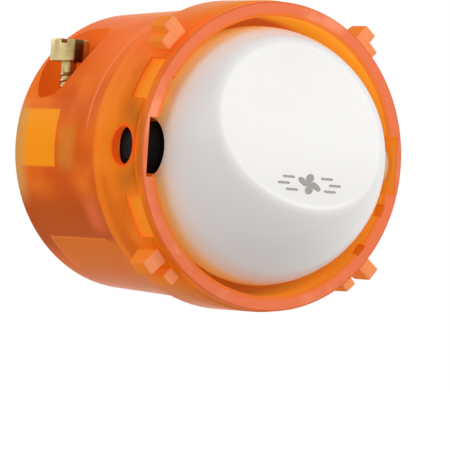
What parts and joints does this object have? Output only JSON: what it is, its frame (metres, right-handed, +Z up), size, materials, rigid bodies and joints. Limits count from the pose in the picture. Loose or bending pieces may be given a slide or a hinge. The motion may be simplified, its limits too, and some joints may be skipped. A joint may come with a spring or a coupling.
{
  "type": "round modular rocker light switch",
  "caption": "Round snap-in rocker switch with a translucent amber can, white domed dolly and brass terminal screws.",
  "frame": {"origin": "centre of the rim's front face, where the mechanism snaps into its plate", "axes": "-Y is the front that the user sees, +Y runs back into the wall, +Z is up, the rocker turns about a line along X"},
  "size_m": [0.0242, 0.0273, 0.0242],
  "materials": {
    "amber_plastic": "translucent moulded polycarbonate",
    "white_plastic": "smooth satin white",
    "black_plastic": "matte black",
    "brass": "stamped brass",
    "screw_brass": "turned brass",
    "silver": "silver contact",
    "spring_steel": "drawn wire"
  },
  "bodies": {
    "can": {"housing": "amber_plastic", "rear_base": "amber_plastic", "contact_strip_upper": "brass", "contact_strip_lower": "brass", "fixed_tip_upper": "silver", "fixed_tip_lower": "silver", "common_cradle": "brass", "terminal_upper_left": "brass", "terminal_upper_right": "brass", "terminal_lower_right": "brass"},
    "rocker": {"dolly": "white_plastic", "rocker_carrier": "black_plastic"},
    "spring_pin": {"plunger": "white_plastic", "plunger_spring": "spring_steel"},
    "blade": {"contact_blade": "brass", "moving_tip_upper": "silver", "moving_tip_lower": "silver"},
    "screw_a": {"screw_upper_left": "screw_brass"},
    "screw_b": {"screw_upper_right": "screw_brass"},
    "screw_c": {"screw_lower_right": "screw_brass"}
  },
  "joints": [
    {"name": "rocker_hinge", "type": "hinge", "parent": "can", "child": "rocker", "pos_m": [0, 0.0026, 0], "axis": [1, 0, 0], "range_deg": [0, 20]},
    {"name": "plunger_slide", "type": "slide", "parent": "rocker", "child": "spring_pin", "axis": [0, 0.9848, -0.1736], "range_m": [-0.0006, 0], "stiffness_N_per_m": 200, "springref_m": 0.0006, "deforming": ["plunger_spring"]},
    {"name": "blade_hinge", "type": "hinge", "parent": "can", "child": "blade", "pos_m": [0, 0.01116, 0], "axis": [1, 0, 0], "range_deg": [-12, 0]},
    {"name": "screw_a_turn_in", "type": "slide", "parent": "can", "child": "screw_a", "axis": [0, 0, -1], "range_m": [0, 0.0012]},
    {"name": "screw_b_turn_in", "type": "slide", "parent": "can", "child": "screw_b", "axis": [0, 0, -1], "range_m": [0, 0.0012]},
    {"name": "screw_c_turn_in", "type": "slide", "parent": "can", "child": "screw_c", "axis": [0, 0, 1], "range_m": [0, 0.0012]}
  ],
  "couplings": [
    {"joint": "blade_hinge", "follows": "rocker_hinge", "ratio": -0.6}
  ]
}
